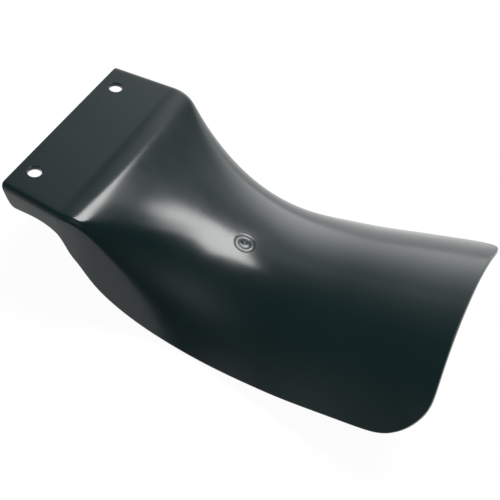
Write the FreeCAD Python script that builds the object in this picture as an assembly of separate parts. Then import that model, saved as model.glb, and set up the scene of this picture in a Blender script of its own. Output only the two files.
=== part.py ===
import FreeCAD, Part
import math
import os

# Shock mud flap: one moulded plastic shell of even thickness.
# Frame: the origin is midway between the two bolt holes, on the top face of the tab.
# +X runs from the bolted edge to the flap's free end, +Y is across, +Z is up. Millimetres and degrees.

os.makedirs("parts", exist_ok=True)
Vector = FreeCAD.Vector

# Wall
wall_thickness = 2.2

# Bolt holes
hole_diameter = 6.5
hole_spacing = 70.0
hole_to_tab_edge = 8.3
hole_to_tab_waist = 13.0
hole_to_crease = 23.4

# Crest line, seen from the side: flat tab, crease, hollow sweep, straight end run, upturned lip
crease_radius = 25.0
crease_angle = 31.0
sweep_radius = 136.0
end_rise_angle = 16.7
end_run = 46.4
lip_radius = 50.0
lip_angle = 9.0

# Widths across the skirts
tab_edge_width = 100.3
tab_waist_width = 104.0
crease_width = 106.0
root_width = 108.2
shoulder_width = 111.5
waist_width = 109.1
middle_width = 118.3
end_width = 130.3

# Width of the flat along the crest, beyond the crease
root_flat = 97.4
shoulder_flat = 76.4
waist_flat = 39.0
middle_flat = 4.0
end_flat = 4.0

# Bend from the flat into the skirt
fold_radius = 3.0
tab_bend = 88.0
root_bend = 83.8
shoulder_bend = 72.0
waist_bend = 63.1
middle_bend = 41.4
end_bend = 38.2

# Straight part of the skirt below the bend
tab_edge_skirt = 9.3
tab_waist_skirt = 6.3
crease_skirt = 8.8
root_skirt = 18.1
shoulder_skirt = 17.1
waist_skirt = 12.9
middle_skirt = 5.3
end_skirt = 5.3

# Central ridge that runs out from the crease: places beyond the crease, heights and half widths
ridge_start_run = 8.0
ridge_rise_run = 19.0
ridge_top_run = 40.0
ridge_fall_run = 60.0
ridge_tail_run = 73.0
ridge_end_run = 110.0
ridge_start_height = 1.85
ridge_rise_height = 3.35
ridge_top_height = 4.0
ridge_fall_height = 2.8
ridge_tail_height = 1.3
ridge_root_half_width = 80.0
ridge_start_half_width = 55.0
ridge_rise_half_width = 46.0
ridge_top_half_width = 28.0
ridge_fall_half_width = 19.0
ridge_tail_half_width = 17.0
ridge_power = 2.6

# Places of the sections, as a share of the run from the crease to the end
root_place = 0.05
shoulder_place = 0.12
waist_place = 0.30
middle_place = 0.60

# Lean of the sections: the tab's skirts are cut back, and the free end is nearly square to the flap
tab_skirt_lean = 25.0
end_lean = 14.0

# Corners of the sheet, with a little overlap so that each arc cuts clear of the curved edges
end_corner_radius = 24.0
tab_corner_radius = 4.0
trim_overlap = 0.1

# Moulding mark on the outer face: two ring grooves around a small nub
mark_x = 93.8
mark_y = -5.5
mark_outer_diameter = 10.0
mark_inner_diameter = 6.0
mark_groove_width = 0.7
mark_groove_depth = 0.15
mark_nub_radius = 0.9
mark_nub_height = 0.25

# Number of surface poles along each stretch
tab_spans = 8
crease_spans = 6
sweep_spans = 14
end_spans = 4
lip_spans = 3
flat_spans = 4
bend_spans = 6
skirt_spans = 3


def spread(start, end, spans):
    """Values from just after start up to end, evenly spaced."""
    return [start + (end - start) * i / spans for i in range(1, spans + 1)]


def crest_line():
    """Points (x, z) along the crest, from the bolted edge to the free end."""
    down = math.radians(crease_angle)
    rise = math.radians(end_rise_angle)
    points = [(-hole_to_tab_edge, 0.0)]
    points += [(x, 0.0) for x in spread(-hole_to_tab_edge, hole_to_crease, tab_spans)]
    for turn in spread(0.0, down, crease_spans):
        x = hole_to_crease + crease_radius * math.sin(turn)
        points.append((x, crease_radius * (math.cos(turn) - 1)))
    centre_x = points[-1][0] + sweep_radius * math.sin(down)
    centre_z = points[-1][1] + sweep_radius * math.cos(down)
    for turn in spread(-down, rise, sweep_spans):
        points.append((centre_x + sweep_radius * math.sin(turn), centre_z - sweep_radius * math.cos(turn)))
    sweep_x, sweep_z = points[-1]
    for run in spread(0.0, end_run, end_spans):
        points.append((sweep_x + run * math.cos(rise), sweep_z + run * math.sin(rise)))
    lip_x, lip_z = points[-1]
    for turn in spread(rise, rise + math.radians(lip_angle), lip_spans):
        x = lip_x + lip_radius * (math.sin(turn) - math.sin(rise))
        points.append((x, lip_z + lip_radius * (math.cos(rise) - math.cos(turn))))
    return points


def smooth_value(places, values, place):
    """A curve through the stations that never overshoots them (monotone cubic)."""
    steps = [b - a for a, b in zip(places, places[1:])]
    rises = [(b - a) / h for a, b, h in zip(values, values[1:], steps)]
    slopes = [rises[0]]
    for before, after, left, right in zip(rises, rises[1:], steps, steps[1:]):
        if before * after <= 0:
            slopes.append(0.0)
        else:
            first = 2 * right + left
            second = right + 2 * left
            slopes.append((first + second) / (first / before + second / after))
    slopes.append(rises[-1])
    index = max(i for i in range(len(steps)) if i == 0 or place >= places[i])
    step = steps[index]
    t = (place - places[index]) / step
    start = values[index] * (1 + 2 * t) * (1 - t) ** 2 + step * slopes[index] * t * (1 - t) ** 2
    end = values[index + 1] * t * t * (3 - 2 * t) + step * slopes[index + 1] * t * t * (t - 1)
    return start + end


def fold_reach(skirt):
    """How far a tab fold and its skirt stand out beyond the flat."""
    bend = math.radians(tab_bend)
    return fold_radius * math.sin(bend) + skirt * math.cos(bend)


def section_sizes(x, x_end):
    """Half width, flat half width, bend angle, skirt and lean of the section at x."""
    run = x_end - hole_to_crease
    shares = (0.0, root_place, shoulder_place, waist_place, middle_place, 1.0)
    flap_places = [hole_to_crease + share * run for share in shares]
    places = [-hole_to_tab_edge, hole_to_tab_waist] + flap_places
    widths = (
        tab_edge_width,
        tab_waist_width,
        crease_width,
        root_width,
        shoulder_width,
        waist_width,
        middle_width,
        end_width,
    )
    skirts = (
        tab_edge_skirt,
        tab_waist_skirt,
        crease_skirt,
        root_skirt,
        shoulder_skirt,
        waist_skirt,
        middle_skirt,
        end_skirt,
    )
    half = smooth_value(places, widths, x) / 2
    skirt = smooth_value(places, skirts, x)
    if x <= hole_to_crease:
        back = (hole_to_crease - x) / (hole_to_crease + hole_to_tab_edge)
        return half, half - fold_reach(skirt), math.radians(tab_bend), skirt, math.radians(tab_skirt_lean) * back
    crease_flat = crease_width - 2 * fold_reach(crease_skirt)
    flats = (crease_flat, root_flat, shoulder_flat, waist_flat, middle_flat, end_flat)
    bends = (tab_bend, root_bend, shoulder_bend, waist_bend, middle_bend, end_bend)
    flat = smooth_value(flap_places, flats, x) / 2
    bend = math.radians(smooth_value(flap_places, bends, x))
    lean = math.radians(end_lean) * (x - hole_to_crease) / run
    return half, flat, bend, skirt, lean


def half_section(half, flat, bend, skirt):
    """Points (y, drop) of half a section, from the crest to the skirt's edge."""
    radius = (half - flat - skirt * math.cos(bend)) / math.sin(bend)
    points = [(0.0, 0.0)]
    points += [(y, 0.0) for y in spread(0.0, flat, flat_spans)]
    for turn in spread(0.0, bend, bend_spans):
        points.append((flat + radius * math.sin(turn), radius * (1 - math.cos(turn))))
    bend_y, bend_drop = points[-1]
    for run in spread(0.0, skirt, skirt_spans):
        points.append((bend_y + run * math.cos(bend), bend_drop + run * math.sin(bend)))
    return points


def ridge_lift(x, y):
    """Height that the central ridge adds at a point of the outer skin."""
    run = x - hole_to_crease
    if run <= 0 or run >= ridge_end_run:
        return 0.0
    runs = (
        0.0,
        ridge_start_run,
        ridge_rise_run,
        ridge_top_run,
        ridge_fall_run,
        ridge_tail_run,
        ridge_end_run,
    )
    heights = (
        0.0,
        ridge_start_height,
        ridge_rise_height,
        ridge_top_height,
        ridge_fall_height,
        ridge_tail_height,
        0.0,
    )
    half_widths = (
        ridge_root_half_width,
        ridge_start_half_width,
        ridge_rise_half_width,
        ridge_top_half_width,
        ridge_fall_half_width,
        ridge_tail_half_width,
        ridge_tail_half_width,
    )
    share = abs(y) / smooth_value(runs, half_widths, run)
    return smooth_value(runs, heights, run) * math.exp(-share ** ridge_power)


def outer_poles():
    """Rows of poles for the outer skin: one row per crest point, from the -Y edge to the +Y edge."""
    crest = crest_line()
    x_end = crest[-1][0]
    rows = []
    for x, z in crest:
        half, flat, bend, skirt, lean = section_sizes(x, x_end)
        right = half_section(half, flat, bend, skirt)
        left = [(-y, drop) for y, drop in reversed(right[1:])]
        row = []
        for y, drop in left + right:
            place = x + drop * math.sin(lean)
            row.append(Vector(place, y, z - drop * math.cos(lean) + ridge_lift(place, y)))
        rows.append(row)
    return rows


def inner_poles(rows):
    """The same rows moved inwards by the wall thickness, square to the outer skin."""
    last_row = len(rows) - 1
    last_column = len(rows[0]) - 1
    moved = []
    for i, row in enumerate(rows):
        line = []
        for j, point in enumerate(row):
            along = rows[min(i + 1, last_row)][j] - rows[max(i - 1, 0)][j]
            across = row[min(j + 1, last_column)] - row[max(j - 1, 0)]
            normal = along.cross(across).normalize()
            line.append(point - normal * wall_thickness)
        moved.append(line)
    return moved


def skin(rows):
    """A smooth surface on rows of poles."""
    degree = 3

    def knots_for(count):
        spans = count - degree
        knots = list(range(spans + 1))
        return knots, [degree + 1] + [1] * (spans - 1) + [degree + 1]

    u_knots, u_mults = knots_for(len(rows))
    v_knots, v_mults = knots_for(len(rows[0]))
    surface = Part.BSplineSurface()
    surface.buildFromPolesMultsKnots(rows, u_mults, v_mults, u_knots, v_knots, False, False, degree, degree)
    return surface


def shell_between(outer, inner):
    """The solid wall between the two skins, closed by a strip along each of the four edges."""
    u_first, u_last, v_first, v_last = outer.bounds()
    faces = [outer.toShape(), inner.toShape()]
    for u in (u_first, u_last):
        faces.append(Part.makeRuledSurface(outer.uIso(u).toShape(), inner.uIso(u).toShape()))
    for v in (v_first, v_last):
        faces.append(Part.makeRuledSurface(outer.vIso(v).toShape(), inner.vIso(v).toShape()))
    shell = Part.makeShell(faces)
    shell.sewShape()
    solid = Part.Solid(shell)
    if solid.Volume < 0:
        solid.reverse()
    return solid


def corner_cutter(corner, side_point, end_point, radius):
    """A prism that trims a corner of the sheet to an arc between its two edges."""
    side = (side_point - corner).normalize()
    end = (end_point - corner).normalize()
    middle = (side + end).normalize()
    half_angle = side.getAngle(end) / 2
    reach = radius / math.tan(half_angle)
    arc_gap = radius / math.sin(half_angle) - radius
    tip = corner - middle * trim_overlap
    first = tip + side * reach
    last = tip + end * reach
    outside = tip - middle * radius
    edges = [
        Part.Arc(first, tip + middle * arc_gap, last).toShape(),
        Part.LineSegment(last, outside).toShape(),
        Part.LineSegment(outside, first).toShape(),
    ]
    square = side.cross(end).normalize()
    face = Part.Face(Part.Wire(edges))
    face.translate(square * -radius)
    return face.extrude(square * 2 * radius)


def point_along(curve, start, distance):
    """The point at a distance along a curve from one of its parameters."""
    return curve.value(curve.parameterAtDistance(distance, start))


def corner_cutters(surface):
    """Cutters for the two corners of the free end and the two skirt corners of the tab."""
    u_first, u_last, v_first, v_last = surface.bounds()
    cutters = []
    for u, radius, along in ((u_last, end_corner_radius, -1), (u_first, tab_corner_radius, 1)):
        for v, inwards in ((v_first, 1), (v_last, -1)):
            side_point = point_along(surface.vIso(v), u, along * radius)
            end_point = point_along(surface.uIso(u), v, inwards * radius)
            cutters.append(corner_cutter(surface.value(u, v), side_point, end_point, radius))
    return cutters


def bolt_holes():
    """Drills for the two holes, along Z through the tab."""
    depth = 3 * wall_thickness
    drills = []
    for y in (-hole_spacing / 2, hole_spacing / 2):
        drills.append(Part.makeCylinder(hole_diameter / 2, depth, Vector(0, y, -2 * wall_thickness)))
    return drills


def crest_height(x):
    """Height of the crest line at x."""
    points = crest_line()
    for (x0, z0), (x1, z1) in zip(points, points[1:]):
        if x0 <= x <= x1:
            return z0 + (z1 - z0) * (x - x0) / (x1 - x0)


def moulding_mark(surface):
    """Ring grooves to cut and a nub to add, square to the outer skin at the mark."""
    height = crest_height(mark_x) + ridge_lift(mark_x, mark_y)
    u, v = surface.parameter(Vector(mark_x, mark_y, height))
    centre = surface.value(u, v)
    outwards = surface.normal(u, v)
    if outwards.z < 0:
        outwards = -outwards
    floor = centre - outwards * mark_groove_depth
    grooves = []
    for diameter in (mark_outer_diameter, mark_inner_diameter):
        ring = Part.makeCylinder(diameter / 2, wall_thickness, floor, outwards)
        core = Part.makeCylinder(diameter / 2 - mark_groove_width, wall_thickness, floor, outwards)
        grooves.append(ring.cut(core))
    nub = Part.makeSphere(mark_nub_radius, centre + outwards * (mark_nub_height - mark_nub_radius))
    return grooves, nub


rows = outer_poles()
outer = skin(rows)
inner = skin(inner_poles(rows))
grooves, nub = moulding_mark(outer)
flap = shell_between(outer, inner)
flap = flap.cut(corner_cutters(outer) + bolt_holes() + grooves).fuse(nub)
flap = flap.Solids[0]
print("mud flap: valid", flap.isValid(), "volume", round(flap.Volume, 1), "faces", len(flap.Faces))
flap.exportStep("parts/mud_flap.step")
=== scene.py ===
# %% [markdown]
# # Shock mud flap
# The real thing is one black plastic moulding: a flat tab with two bolt holes, a crease, and an arched flap
# that keeps spray off a motorcycle's rear shock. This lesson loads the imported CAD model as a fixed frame,
# makes a smoother skin of the same form in its place, gives it a moulded finish, and lights it on a pale floor.

# %% Load the frame
import math
import bpy
import bmesh
from mathutils import Matrix, Vector
from mathutils.bvhtree import BVHTree


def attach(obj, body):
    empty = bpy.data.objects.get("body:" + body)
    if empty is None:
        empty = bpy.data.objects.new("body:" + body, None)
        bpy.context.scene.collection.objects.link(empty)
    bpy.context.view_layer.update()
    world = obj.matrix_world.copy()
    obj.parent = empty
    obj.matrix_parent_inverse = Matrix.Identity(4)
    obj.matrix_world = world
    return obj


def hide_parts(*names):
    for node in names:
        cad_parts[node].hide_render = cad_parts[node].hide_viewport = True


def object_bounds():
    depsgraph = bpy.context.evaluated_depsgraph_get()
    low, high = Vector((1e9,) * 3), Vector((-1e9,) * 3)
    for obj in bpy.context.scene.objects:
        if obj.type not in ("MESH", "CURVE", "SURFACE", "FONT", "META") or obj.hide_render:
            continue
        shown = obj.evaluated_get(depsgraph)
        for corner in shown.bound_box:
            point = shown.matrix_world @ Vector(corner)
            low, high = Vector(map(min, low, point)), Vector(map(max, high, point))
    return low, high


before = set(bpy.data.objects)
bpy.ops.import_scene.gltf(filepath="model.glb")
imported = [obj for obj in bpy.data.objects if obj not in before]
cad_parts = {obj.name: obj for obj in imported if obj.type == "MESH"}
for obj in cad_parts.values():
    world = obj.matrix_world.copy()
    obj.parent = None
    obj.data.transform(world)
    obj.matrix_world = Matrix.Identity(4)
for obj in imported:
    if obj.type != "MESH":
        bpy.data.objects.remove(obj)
cad_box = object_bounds()
MM = 0.001
print("CAD nodes", sorted(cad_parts), "box", [tuple(round(c, 4) for c in corner) for corner in cad_box])

# %% [markdown]
# ## The crest line
# Seen from the side, the middle of the flap is a flat tab, a crease, a long hollow sweep, a straight end run and
# a slight lip. It could be drawn as a curve object, but the flap needs points at chosen distances along the
# line, so each stretch is kept as a length and a turn, and a point is found by walking along them.
# All sizes are in millimetres here, as in the CAD model, and are scaled when a point is placed.

# %% Crest line
hole_to_tab_edge = 8.3
hole_to_crease = 23.4
tab_length = hole_to_tab_edge + hole_to_crease
crease_radius = 25.0
crease_angle = math.radians(31.0)
crease_length = crease_radius * crease_angle
sweep_radius = 136.0
end_rise_angle = math.radians(16.7)
sweep_angle = crease_angle + end_rise_angle
sweep_length = sweep_radius * sweep_angle
end_run = 46.4
lip_radius = 50.0
lip_angle = math.radians(9.0)
lip_length = lip_radius * lip_angle
stretches = (
    (tab_length, 0.0),
    (crease_length, -crease_angle),
    (sweep_length, sweep_angle),
    (end_run, 0.0),
    (lip_length, lip_angle),
)
crest_length = sum(length for length, turn in stretches)


def crest_point(run):
    """Place (x, z) on the crest line, a run away from the tab's edge."""
    x, z, slope = -hole_to_tab_edge, 0.0, 0.0
    for length, turn in stretches:
        part = min(run, length)
        turned = turn * part / length
        if turn:
            radius = length / turn
            x += radius * (math.sin(slope + turned) - math.sin(slope))
            z += radius * (math.cos(slope) - math.cos(slope + turned))
        else:
            x += part * math.cos(slope)
            z += part * math.sin(slope)
        slope += turned
        run -= part
    return x, z


crest_end = crest_point(crest_length)[0]
print("crest length", round(crest_length, 1), "mm, end at x", round(crest_end, 1))

# %% [markdown]
# ## The sections
# Across the flap, each section is a flat, a bend and a straight skirt. The tab has a wide flat with tight folds,
# and the free end is one open arch. A few stations carry the sizes, and a curve that never overshoots
# them gives the sizes in between, so the sides flow without waves. The stations are the crease, root, shoulder,
# waist, middle and end. The widths and skirts have two more before these: the tab's edge and its waist.

# %% Stations
section_shares = (0.0, 0.05, 0.12, 0.30, 0.60, 1.0)
section_places = [hole_to_crease + share * (crest_end - hole_to_crease) for share in section_shares]
hole_to_tab_waist = 13.0
side_places = [-hole_to_tab_edge, hole_to_tab_waist] + section_places
side_widths = (100.3, 104.0, 106.0, 108.2, 111.5, 109.1, 118.3, 130.3)
side_skirts = (9.3, 6.3, 8.8, 18.1, 17.1, 12.9, 5.3, 5.3)
fold_radius = 3.0
tab_bend = math.radians(88.0)
tab_skirt_lean = math.radians(25.0)
end_lean = math.radians(14.0)


def fold_reach(skirt):
    """How far a tab fold and its skirt stand out beyond the flat."""
    return fold_radius * math.sin(tab_bend) + skirt * math.cos(tab_bend)


crease_station = 2
crease_flat = side_widths[crease_station] - 2 * fold_reach(side_skirts[crease_station])
section_flats = (crease_flat, 97.4, 76.4, 39.0, 4.0, 4.0)
section_bends = (88.0, 83.8, 72.0, 63.1, 41.4, 38.2)
print("stations at x", [round(place, 1) for place in side_places])


# %% Sizes between stations
def eased(places, values, place):
    """A smooth value between stations, which never overshoots them."""
    steps = [b - a for a, b in zip(places, places[1:])]
    rises = [(b - a) / h for a, b, h in zip(values, values[1:], steps)]
    slopes = [rises[0]]
    for before, after, left, right in zip(rises, rises[1:], steps, steps[1:]):
        if before * after <= 0:
            slopes.append(0.0)
        else:
            first = 2 * right + left
            second = right + 2 * left
            slopes.append((first + second) / (first / before + second / after))
    slopes.append(rises[-1])
    index = max(i for i in range(len(steps)) if i == 0 or place >= places[i])
    step = steps[index]
    t = min((place - places[index]) / step, 1.0)
    start = values[index] * (1 + 2 * t) * (1 - t) ** 2 + step * slopes[index] * t * (1 - t) ** 2
    end = values[index + 1] * t * t * (3 - 2 * t) + step * slopes[index + 1] * t * t * (t - 1)
    return start + end


def section_sizes(x):
    """Flat half width, bend radius, bend angle, skirt and lean of the section at x."""
    half = eased(side_places, side_widths, x) / 2
    skirt = eased(side_places, side_skirts, x)
    if x <= hole_to_crease:
        back = (hole_to_crease - x) / tab_length
        return half - fold_reach(skirt), fold_radius, tab_bend, skirt, tab_skirt_lean * back
    flat = eased(section_places, section_flats, x) / 2
    bend = math.radians(eased(section_places, section_bends, x))
    radius = (half - flat - skirt * math.cos(bend)) / math.sin(bend)
    lean = end_lean * (x - hole_to_crease) / (crest_end - hole_to_crease)
    return flat, radius, bend, skirt, lean


for name, x in zip(("crease", "root", "shoulder", "waist", "middle", "end"), section_places):
    print(name, "half flat and bend radius", [round(size, 1) for size in section_sizes(x)[:2]])

# %% [markdown]
# ## The ridge
# A soft ridge runs out from the middle of the crease and dies away along the flap. It is what carries the long
# highlight. It is wide where it leaves the crease and narrow at its tail, so it leaves a flat facet on each side.
# It could be sculpted, but a height added to each point can be measured and keeps the skin in one smooth piece.

# %% Ridge
ridge_runs = (0.0, 8.0, 19.0, 40.0, 60.0, 73.0, 110.0)
ridge_heights = (0.0, 1.85, 3.35, 4.0, 2.8, 1.3, 0.0)
ridge_half_widths = (80.0, 55.0, 46.0, 28.0, 19.0, 17.0, 17.0)
ridge_power = 2.6


def ridge_lift(x, y):
    """Height that the ridge adds at a point of the flap."""
    run = x - hole_to_crease
    if run <= 0 or run >= ridge_runs[-1]:
        return 0.0
    share = abs(y) / eased(ridge_runs, ridge_half_widths, run)
    return eased(ridge_runs, ridge_heights, run) * math.exp(-share ** ridge_power)


def formed(run, across):
    """The point of the outer skin at a run along the crest and a distance across it, in metres."""
    x, z = crest_point(run)
    flat, radius, bend, skirt, lean = section_sizes(x)
    reach = abs(across)
    turn = min(max(reach - flat, 0.0) / radius, bend)
    hang = max(reach - flat - radius * bend, 0.0)
    y = min(reach, flat) + radius * math.sin(turn) + hang * math.cos(bend)
    drop = radius * (1 - math.cos(turn)) + hang * math.sin(bend)
    x += drop * math.sin(lean)
    z += ridge_lift(x, y) - drop * math.cos(lean)
    return Vector((x, math.copysign(y, across), z)) * MM


print("ridge height at x 60 is", round(ridge_lift(60.0, 0.0), 2), "mm")

# %% [markdown]
# ## The cage
# A dense mesh could be placed point by point, but a coarse cage under a Subdivision Surface is closer to how the
# CAD model is made: on a regular grid, the subdivided surface is the same kind of smooth surface as the CAD one,
# so the gloss has no facets. Rows of the cage run across the flap and columns run along it. The rows are close
# together at the crease, and the columns at the folds of the tab. Along the sweep the columns move over to a graded
# spacing, close in the middle and wide at the sides, because the round end corners need wide faces.

# %% Cage rows
rim_radius = 0.45
edge_clearance = 0.02
hole_block = 6.0
tab_rows = [rim_radius + edge_clearance]
tab_rows += [hole_to_tab_edge - hole_block, hole_to_tab_edge, hole_to_tab_edge + hole_block]
rows_before_crease = [20.5, 26.5, 30.3]
tab_rows += rows_before_crease + [tab_length]
crease_row_count = 5
sweep_row_count = 14
end_row_count = 5


def stretch_rows(start, length, count):
    """Evenly spaced rows along a stretch of the crest, after its start and up to its end."""
    return [start + length * k / count for k in range(1, count + 1)]


sweep_start = tab_length + crease_length
end_start = sweep_start + sweep_length
rows = tab_rows + stretch_rows(tab_length, crease_length, crease_row_count)
rows += stretch_rows(sweep_start, sweep_length, sweep_row_count)
rows += stretch_rows(end_start, crest_length - rim_radius - end_start, end_row_count)
last_row = len(rows) - 1
print("cage rows", len(rows))

# %% Cage columns
flat_shares = (0.0, 0.22, 0.44, 0.617, 0.744, 0.872, 1.0)
bend_columns = 5
half_columns = len(flat_shares) - 1 + bend_columns + 1
graded_from = sweep_start + 0.15 * sweep_length
graded_to = sweep_start + 0.75 * sweep_length
centre_gap = 0.1


def column_reach(run, column):
    """Distance from the crest to a column of the cage, at a run along the crest."""
    flat, radius, bend, skirt = section_sizes(crest_point(run)[0])[:4]
    side = flat + radius * bend + skirt - rim_radius
    if column < len(flat_shares):
        natural = flat * flat_shares[column]
    elif column < half_columns:
        natural = flat + radius * bend * (column - len(flat_shares) + 1) / bend_columns
    else:
        natural = side
    across = column / half_columns
    graded = side * across * (centre_gap + (1 - centre_gap) * across)
    share = min(max((run - graded_from) / (graded_to - graded_from), 0.0), 1.0)
    return natural + (graded - natural) * share * share * (3 - 2 * share)


print("cage columns", 2 * half_columns + 1)

# %% Build the cage
cage = bmesh.new()
bmesh.ops.create_grid(cage, x_segments=last_row, y_segments=2 * half_columns, size=0.5)
cage_point = {}
for vert in cage.verts:
    row = round((vert.co.x + 0.5) * last_row)
    column = round((vert.co.y + 0.5) * 2 * half_columns) - half_columns
    cage_point[row, column] = vert
    reach = column_reach(rows[row], abs(column))
    vert.co = formed(rows[row], math.copysign(reach, column))
print("cage faces", len(cage.faces))

# %% [markdown]
# ## Rounded corners
# The free end has large round corners. A grid has square ones, so the outermost face of each end corner is
# deleted, and the three points that this leaves on the border are moved onto the corner's arc. That keeps every
# remaining face well shaped. The lower corners of the tab's skirts are smaller, so there it is enough to move the
# next point of the border away from the corner, which gives the subdivision more room to round it.

# %% Corners
corner_radius = 24.0
corner_swell = 0.6
tab_corner_run = 5.0


def on_corner(angle):
    """Run and reach of a point on an end corner's arc; the angle is from the end edge, in degrees."""
    turn = math.radians(angle)
    arc = corner_radius - rim_radius + corner_swell
    return corner_radius - arc * math.cos(turn), corner_radius - arc * math.sin(turn)


for side in (-1, 1):
    edge = side * half_columns
    for row, column, angle in (
        (last_row, edge - side, 22.5),
        (last_row - 1, edge - side, 45.0),
        (last_row - 1, edge, 67.5),
    ):
        end_gap, side_gap = on_corner(angle)
        run = crest_length - end_gap
        reach = column_reach(run, half_columns) + rim_radius - side_gap
        cage_point[row, column].co = formed(run, side * reach)
    cage_point[1, edge].co = formed(tab_corner_run, side * column_reach(tab_corner_run, half_columns))
bmesh.ops.delete(cage, geom=[cage_point[last_row, side * half_columns] for side in (-1, 1)], context="VERTS")
print("cage faces with round corners", len(cage.faces))

# %% [markdown]
# ## Bolt holes in the cage
# A Boolean would cut the holes, but it leaves ragged faces that show in the gloss. Here the middle point of a
# block of four faces is deleted and the open border is extruded inwards onto a ring. Subdividing a ring of eight
# points gives a very good circle that is a little smaller, so the ring starts larger by that ratio.

# %% Holes
hole_radius = 3.25
hole_y = 35.0
hole_row = 2
hole_column = 4
ring_step = math.tau / 8
ring_shrink = (4 + 2 * math.cos(ring_step)) / 6
ring_radius = (hole_radius + rim_radius) / ring_shrink * MM


def picked(items, kind):
    """The verts, the edges or the faces in an operator's result."""
    return [item for item in items if isinstance(item, kind)]


for side in (-1, 1):
    centre = Vector((0.0, side * hole_y * MM, 0.0))
    middle = cage_point[hole_row, side * hole_column]
    border = [edge for face in middle.link_faces for edge in face.edges if middle not in edge.verts]
    bmesh.ops.delete(cage, geom=[middle], context="VERTS")
    grown = bmesh.ops.extrude_edge_only(cage, edges=border)["geom"]
    for vert in picked(grown, bmesh.types.BMVert):
        arm = vert.co - centre
        angle = round(math.atan2(arm.y, arm.x) / ring_step) * ring_step
        vert.co = centre + Vector((math.cos(angle), math.sin(angle), 0.0)) * ring_radius
bmesh.ops.recalc_face_normals(cage, faces=cage.faces)
if sum(face.normal.z for face in cage.faces) < 0:
    bmesh.ops.reverse_faces(cage, faces=cage.faces)
print("cage faces with holes", len(cage.faces))

# %% [markdown]
# ## From cage to skin
# A Subdivision Surface rounds the cage into the outer skin. The modifier could stay on the object, but the finished
# mesh is read back instead, so that the wall, the rims and the mark can be built on its fine faces.

# %% Outer skin
cage_mesh = bpy.data.meshes.new("flap_cage")
cage.to_mesh(cage_mesh)
cage.free()
cage_object = bpy.data.objects.new("flap_cage", cage_mesh)
bpy.context.scene.collection.objects.link(cage_object)
subdivision = cage_object.modifiers.new("smooth", "SUBSURF")
subdivision.levels = subdivision.render_levels = 2
subdivision.boundary_smooth = "ALL"
finished = cage_object.evaluated_get(bpy.context.evaluated_depsgraph_get())
skin_mesh = bpy.data.meshes.new_from_object(finished)
bpy.data.objects.remove(cage_object)
bpy.data.meshes.remove(cage_mesh)
flap = bmesh.new()
flap.from_mesh(skin_mesh)
bpy.data.meshes.remove(skin_mesh)
flap.normal_update()
old_skin = BVHTree.FromBMesh(flap)
print("outer skin faces", len(flap.faces))

# %% [markdown]
# ## Wall and rims
# A moulding has an even wall and softly rounded rims. Solidify and Bevel modifiers would make them, but the tight
# folds of the tab give Bevel edges that are shorter than its width. So the skin is copied inwards along
# its normals, and each open border is extruded around a rounded rim profile until it meets the inner skin.

# %% Rim directions
outer_border = [edge for edge in flap.edges if edge.is_boundary]
ring = {}
for vert in dict.fromkeys(vert for edge in outer_border for vert in edge.verts):
    beside = [edge.other_vert(vert).co - vert.co for edge in vert.link_edges if edge.is_boundary]
    along = beside[0].normalized() - beside[1].normalized()
    out = along.cross(vert.normal).normalized()
    inside = sum((face.calc_center_median() - vert.co for face in vert.link_faces), Vector())
    if out.dot(inside) > 0:
        out.negate()
    ring[vert] = (vert.co.copy(), out, vert.normal.copy())
print("rim points", len(ring))

# %% Inner skin
wall_thickness = 2.2
copied = bmesh.ops.duplicate(flap, geom=list(flap.faces))["geom"]
inner_faces = picked(copied, bmesh.types.BMFace)
inner_verts = picked(copied, bmesh.types.BMVert)
flap.normal_update()
for vert in inner_verts:
    vert.co -= vert.normal * wall_thickness * MM
bmesh.ops.reverse_faces(flap, faces=inner_faces)
print("inner skin faces", len(inner_faces))

# %% Rounded rims
rim_steps = 3
rim_turns = [math.pi / 2 * k / rim_steps for k in range(1, rim_steps + 1)]
rim_profile = [(rim_radius * math.sin(turn), rim_radius * (1 - math.cos(turn))) for turn in rim_turns]
rim_profile += [(out, wall_thickness - depth) for out, depth in reversed(rim_profile)]
rim_profile.append((0.0, wall_thickness))
merge_distance = 1e-6
for edge in outer_border:
    edge.smooth = False
border = outer_border
for reach, depth in rim_profile:
    grown = bmesh.ops.extrude_edge_only(flap, edges=border)["geom"]
    border = picked(grown, bmesh.types.BMEdge)
    next_ring = {}
    for vert in picked(grown, bmesh.types.BMVert):
        parent = next(edge.other_vert(vert) for edge in vert.link_edges if edge.other_vert(vert) in ring)
        start, out, normal = ring[parent]
        vert.co = start + (out * reach - normal * depth) * MM
        next_ring[vert] = ring[parent]
    ring = next_ring
inner_border = [vert for vert in inner_verts if vert.is_boundary]
bmesh.ops.remove_doubles(flap, verts=list(ring) + inner_border, dist=merge_distance)
flap.normal_update()
print("wall faces", len(flap.faces), "open edges", sum(edge.is_boundary for edge in flap.edges))

# %% [markdown]
# ## The moulding mark
# A round stamp in the mould leaves two fine rings and a nub on the ridge's tail. Bump in the material could fake
# it, but the exported mesh would lose it. The faces under the mark are deleted, and the border that this
# leaves is extruded inwards ring by ring, each ring laid on the old surface and then sunk or raised.

# %% Place of the mark
mark_x = 93.8
mark_y = -5.5
mark_clear = 6.4
mark_depth = 1.0
mark_facing = 0.5
probe_height = 50.0
above = Vector((mark_x, mark_y, probe_height)) * MM
mark_centre, mark_normal = old_skin.ray_cast(above, Vector((0.0, 0.0, -1.0)))[:2]
mark_ahead = mark_normal.orthogonal().normalized()
mark_aside = mark_normal.cross(mark_ahead)


def under_mark(face):
    """True for faces of the outer skin that the mark covers."""
    arm = face.calc_center_median() - mark_centre
    height = arm.dot(mark_normal)
    spread = (arm - mark_normal * height).length
    near = abs(height) < mark_depth * MM and spread < mark_clear * MM
    return near and face.normal.dot(mark_normal) > mark_facing


covered = [face for face in flap.faces if under_mark(face)]
print("mark at", [round(c, 4) for c in mark_centre], "over", len(covered), "faces")

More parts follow.
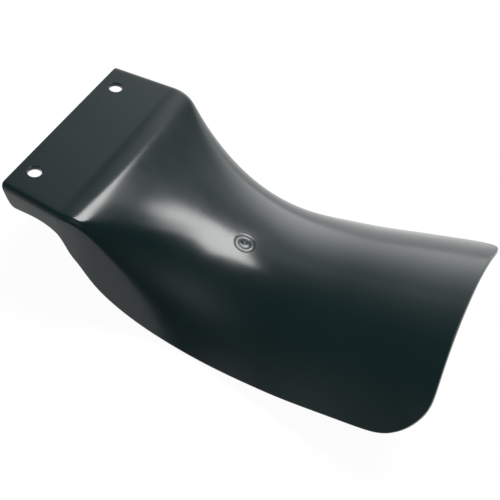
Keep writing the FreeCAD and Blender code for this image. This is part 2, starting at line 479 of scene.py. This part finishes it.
# %% Rings of the mark
mark_rings = (
    (5.6, 0.0), (5.2, 0.0), (5.0, -0.03), (4.8, -0.1), (4.5, -0.1), (4.3, -0.03), (4.1, 0.0),
    (3.2, 0.0), (3.0, -0.03), (2.8, -0.1), (2.5, -0.1), (2.3, -0.03), (2.1, 0.0),
    (1.1, 0.0), (0.85, 0.1), (0.5, 0.17), (0.2, 0.2),
)
mark_probe = 20.0
bmesh.ops.delete(flap, geom=covered, context="FACES")
border = [edge for edge in flap.edges if edge.is_boundary]
wall_faces = set(flap.faces)
for radius, lift in mark_rings:
    grown = bmesh.ops.extrude_edge_only(flap, edges=border)["geom"]
    border = picked(grown, bmesh.types.BMEdge)
    for vert in picked(grown, bmesh.types.BMVert):
        arm = vert.co - mark_centre
        angle = math.atan2(arm.dot(mark_aside), arm.dot(mark_ahead))
        out = mark_ahead * math.cos(angle) + mark_aside * math.sin(angle)
        start = mark_centre + (out * radius + mark_normal * mark_probe) * MM
        vert.co = old_skin.ray_cast(start, -mark_normal)[0] + mark_normal * lift * MM
bmesh.ops.contextual_create(flap, geom=border)
flap.normal_update()
mark_faces = [face for face in flap.faces if face not in wall_faces]
turned = [face for face in mark_faces if face.normal.dot(mark_normal) < 0]
bmesh.ops.reverse_faces(flap, faces=turned)
print("mark faces", len(mark_faces), "with", len(border), "round each ring")

# %% [markdown]
# ## The flap in the frame
# The flap is one piece, so the finished mesh becomes one object. It could be moved into place, but its points are
# already in the frame, so it stays at the origin. It rides on the part's only body and stands for the CAD node, which
# is hidden here and stays in MuJoCo for collision.

# %% Flap object
flap_mesh = bpy.data.meshes.new("flap_shell")
flap.to_mesh(flap_mesh)
open_edges = sum(1 for edge in flap.edges if not edge.is_manifold)
flap.free()
flap_mesh.polygons.foreach_set("use_smooth", [True] * len(flap_mesh.polygons))
flap_shell = bpy.data.objects.new("flap_shell", flap_mesh)
bpy.context.scene.collection.objects.link(flap_shell)
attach(flap_shell, "root")
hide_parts("mud_flap")
print("flap faces", len(flap_mesh.polygons), "open edges", open_edges)

# %% [markdown]
# ## Black moulded plastic
# The real finish is a smooth mould surface in dark plastic, probably polypropylene: nearly black with a cool green
# cast, glossy, with a faint orange peel and patches that are a little duller from handling. Painted images could
# carry this, but they need an unwrapped mesh, so noise on Object coordinates gives the patches and the peel. The
# even values stay on the shader itself.

# %% Plastic shader
plastic = bpy.data.materials.new("black_plastic")
plastic.use_nodes = True
nodes = plastic.node_tree.nodes
links = plastic.node_tree.links
shader = nodes["Principled BSDF"]
shader.inputs["IOR"].default_value = 1.49
where = nodes.new("ShaderNodeTexCoord")
print("plastic index of refraction", round(shader.inputs["IOR"].default_value, 2))


# %% Tint and gloss
def noise(scale, detail, roughness=0.5):
    """A noise texture on Object coordinates."""
    node = nodes.new("ShaderNodeTexNoise")
    node.inputs["Scale"].default_value = scale
    node.inputs["Detail"].default_value = detail
    node.inputs["Roughness"].default_value = roughness
    links.new(where.outputs["Object"], node.inputs["Vector"])
    return node


def ramp(source, stops):
    """A colour ramp on a texture's factor; stops are (position, colour)."""
    node = nodes.new("ShaderNodeValToRGB")
    while len(node.color_ramp.elements) < len(stops):
        node.color_ramp.elements.new(1.0)
    for element, (position, colour) in zip(node.color_ramp.elements, stops):
        element.position = position
        element.color = (*colour, 1.0)
    links.new(source.outputs["Fac"], node.inputs["Fac"])
    return node


patches = noise(28.0, 3.0)
tint = ramp(patches, ((0.3, (0.0045, 0.0185, 0.0192)), (0.7, (0.0065, 0.0225, 0.0232))))
links.new(tint.outputs["Color"], shader.inputs["Base Color"])
handling = noise(65.0, 5.0, 0.6)
gloss = ramp(handling, ((0.25, (0.15, 0.15, 0.15)), (0.75, (0.21, 0.21, 0.21))))
links.new(gloss.outputs["Color"], shader.inputs["Roughness"])
print("nodes with tint and gloss", len(nodes))

# %% Orange peel
peel = noise(700.0, 2.0)
peel_bump = nodes.new("ShaderNodeBump")
peel_bump.inputs["Strength"].default_value = 0.02
peel_bump.inputs["Distance"].default_value = 0.0002
links.new(peel.outputs["Fac"], peel_bump.inputs["Height"])
links.new(peel_bump.outputs["Normal"], shader.inputs["Normal"])
flap_mesh.materials.append(plastic)
print("nodes in the whole plastic", len(nodes))

# %% [markdown]
# ## Floor
# The part is fixed by its bolts in use, but for the picture it lies on a plain pale floor at its lowest point. A
# plain diffuse floor would turn grey under this light, so the floor is white to the camera and to reflections, with
# enough plain diffuse in it to keep the flap's shadow. It is wide, so that views from the sides also end in white.

# %% Floor
floor_half_size = 40.0
floor_gap = 0.0003
floor_middle = Vector((0.1, 0.0, cad_box[0][2] - floor_gap))
floor_mesh = bpy.data.meshes.new("floor")
floor_grid = bmesh.new()
bmesh.ops.create_grid(floor_grid, x_segments=1, y_segments=1, size=floor_half_size)
bmesh.ops.translate(floor_grid, verts=floor_grid.verts, vec=floor_middle)
floor_grid.to_mesh(floor_mesh)
floor_grid.free()
floor = bpy.data.objects.new("floor", floor_mesh)
bpy.context.scene.collection.objects.link(floor)
print("floor at z", round(floor_middle.z, 4))

# %% Floor material
floor_matt_colour = (0.9, 0.9, 0.9, 1.0)
floor_glow_strength = 1.04
floor_glow_share = 0.92
floor_white = bpy.data.materials.new("floor_white")
floor_white.use_nodes = True
floor_nodes = floor_white.node_tree.nodes
floor_links = floor_white.node_tree.links
floor_nodes.clear()
floor_out = floor_nodes.new("ShaderNodeOutputMaterial")
floor_matt = floor_nodes.new("ShaderNodeBsdfDiffuse")
floor_matt.inputs["Color"].default_value = floor_matt_colour
floor_glow = floor_nodes.new("ShaderNodeEmission")
floor_glow.inputs["Strength"].default_value = floor_glow_strength
floor_mix = floor_nodes.new("ShaderNodeMixShader")
ray = floor_nodes.new("ShaderNodeLightPath")
camera_or_glossy = floor_nodes.new("ShaderNodeMath")
camera_or_glossy.operation = "MAXIMUM"
floor_links.new(ray.outputs["Is Camera Ray"], camera_or_glossy.inputs[0])
floor_links.new(ray.outputs["Is Glossy Ray"], camera_or_glossy.inputs[1])
seen = floor_nodes.new("ShaderNodeMath")
seen.operation = "MAXIMUM"
floor_links.new(camera_or_glossy.outputs[0], seen.inputs[0])
floor_links.new(ray.outputs["Is Transmission Ray"], seen.inputs[1])
glow_share = floor_nodes.new("ShaderNodeMath")
glow_share.operation = "MULTIPLY"
glow_share.inputs[1].default_value = floor_glow_share
floor_links.new(seen.outputs[0], glow_share.inputs[0])
floor_links.new(glow_share.outputs[0], floor_mix.inputs["Fac"])
floor_links.new(floor_matt.outputs[0], floor_mix.inputs[1])
floor_links.new(floor_glow.outputs[0], floor_mix.inputs[2])
floor_links.new(floor_mix.outputs[0], floor_out.inputs["Surface"])
floor_mesh.materials.append(floor_white)
print("floor nodes", len(floor_nodes))

# %% [markdown]
# ## Studio light
# The photograph has one soft key light high behind the flap, a broad pale wall at the back and a dim room on the
# camera's side. The key could be placed by eye, but here its bearing and elevation say where the flap mirrors it, and
# its width and height are the angles that it spans, seen from the flap.

# %% Key lamp
key_bearing, key_elevation = 21.0, 63.5
key_width_angle, key_height_angle = 20.0, 21.0
key_distance = 4.0
key_width = 2 * key_distance * math.tan(math.radians(key_width_angle / 2))
key_height = 2 * key_distance * math.tan(math.radians(key_height_angle / 2))
key_radiance = 13.5
flap_middle = Vector((0.095, 0.0, -0.02))


def direction(bearing, elevation):
    """A direction from the flap, in degrees; the bearing is from +Y towards +X."""
    b, e = math.radians(bearing), math.radians(elevation)
    return Vector((math.sin(b) * math.cos(e), math.cos(b) * math.cos(e), math.sin(e)))


key_lamp = bpy.data.lights.new("key_softbox", "AREA")
key_lamp.shape = "RECTANGLE"
key_lamp.size = key_width
key_lamp.size_y = key_height
key_lamp.energy = key_radiance * math.pi * key_width * key_height
key_back = direction(key_bearing, key_elevation)
key_side = Vector((0.0, 0.0, 1.0)).cross(key_back).normalized()
key_turn = Matrix((key_side, key_back.cross(key_side), key_back)).transposed().to_4x4()
key = bpy.data.objects.new("key_softbox", key_lamp)
key.matrix_world = Matrix.Translation(flap_middle + key_back * key_distance) @ key_turn
key.visible_camera = False
bpy.context.scene.collection.objects.link(key)
print("key power", round(key_lamp.energy, 1))

# %% [markdown]
# ## The room
# Behind the part stands a bright wall, which the flap's far side mirrors as a smooth pale band. A lamp would mirror
# with a hard edge, so the wall is painted into the world as three soft round patches, one above the other and each
# dimmer than the one below. A low patch at the front left and a weak one high behind the camera lift the near side.
# The rest of the room is dim. Each patch has a bearing, an elevation, a sharpness and a radiance.

# %% Room patches
room_level = 0.08
room_patches = (
    (-6.0, 4.0, 13.0, 2.1),
    (-8.0, 26.0, 14.0, 1.25),
    (-8.0, 48.0, 14.0, 0.45),
    (-125.0, 8.0, 14.0, 1.2),
    (155.0, 52.0, 14.0, 0.43),
)
print("room patches", len(room_patches))

# %% Room
world = bpy.data.worlds.new("room")
bpy.context.scene.world = world
world.use_nodes = True
room_nodes = world.node_tree.nodes
room_links = world.node_tree.links
background = room_nodes["Background"]
background.inputs["Color"].default_value = (1.0, 1.0, 1.0, 1.0)
look = room_nodes.new("ShaderNodeTexCoord")


def room_math(operation, first, second=None):
    """A maths node in the room; each input is a socket or a number."""
    node = room_nodes.new("ShaderNodeMath")
    node.operation = operation
    for socket, value in zip(node.inputs, (first, second)):
        if isinstance(value, float):
            socket.default_value = value
        elif value is not None:
            room_links.new(value, socket)
    return node.outputs[0]


strength = room_level
for bearing, elevation, sharpness, radiance in room_patches:
    facing = room_nodes.new("ShaderNodeVectorMath")
    facing.operation = "DOT_PRODUCT"
    facing.inputs[1].default_value = direction(bearing, elevation)
    room_links.new(look.outputs["Generated"], facing.inputs[0])
    away = room_math("SUBTRACT", facing.outputs["Value"], 1.0)
    patch = room_math("EXPONENT", room_math("MULTIPLY", away, sharpness))
    strength = room_math("ADD", room_math("MULTIPLY", patch, radiance), strength)
room_links.new(strength, background.inputs["Strength"])
print("room nodes", len(room_nodes))

# %% [markdown]
# ## Camera
# The viewpoint was fitted to the photograph's outline: the camera is nearly half a metre from the flap, above its
# near side and towards the free end, and a little rolled. A Track To constraint could aim it, but would lose the roll,
# so its axes are written as directions in the flap's own frame.

# %% Camera
camera_right = Vector((0.8931, 0.43434, 0.11713))
camera_up = Vector((-0.39854, 0.64316, 0.65385))
camera_back = camera_right.cross(camera_up)
camera_eye = Vector((0.1937, -0.2977, 0.3226))
focal_pixels = 996.1
image_pixels = 500
camera_data = bpy.data.cameras.new("camera")
camera_data.sensor_width = 36.0
camera_data.lens = focal_pixels / image_pixels * camera_data.sensor_width
camera = bpy.data.objects.new("camera", camera_data)
camera_turn = Matrix((camera_right, camera_up, camera_back)).transposed().to_4x4()
camera.matrix_world = Matrix.Translation(camera_eye) @ camera_turn
bpy.context.scene.collection.objects.link(camera)
bpy.context.scene.camera = camera
bpy.context.scene.view_settings.view_transform = "Standard"
print("lens", round(camera_data.lens, 2))
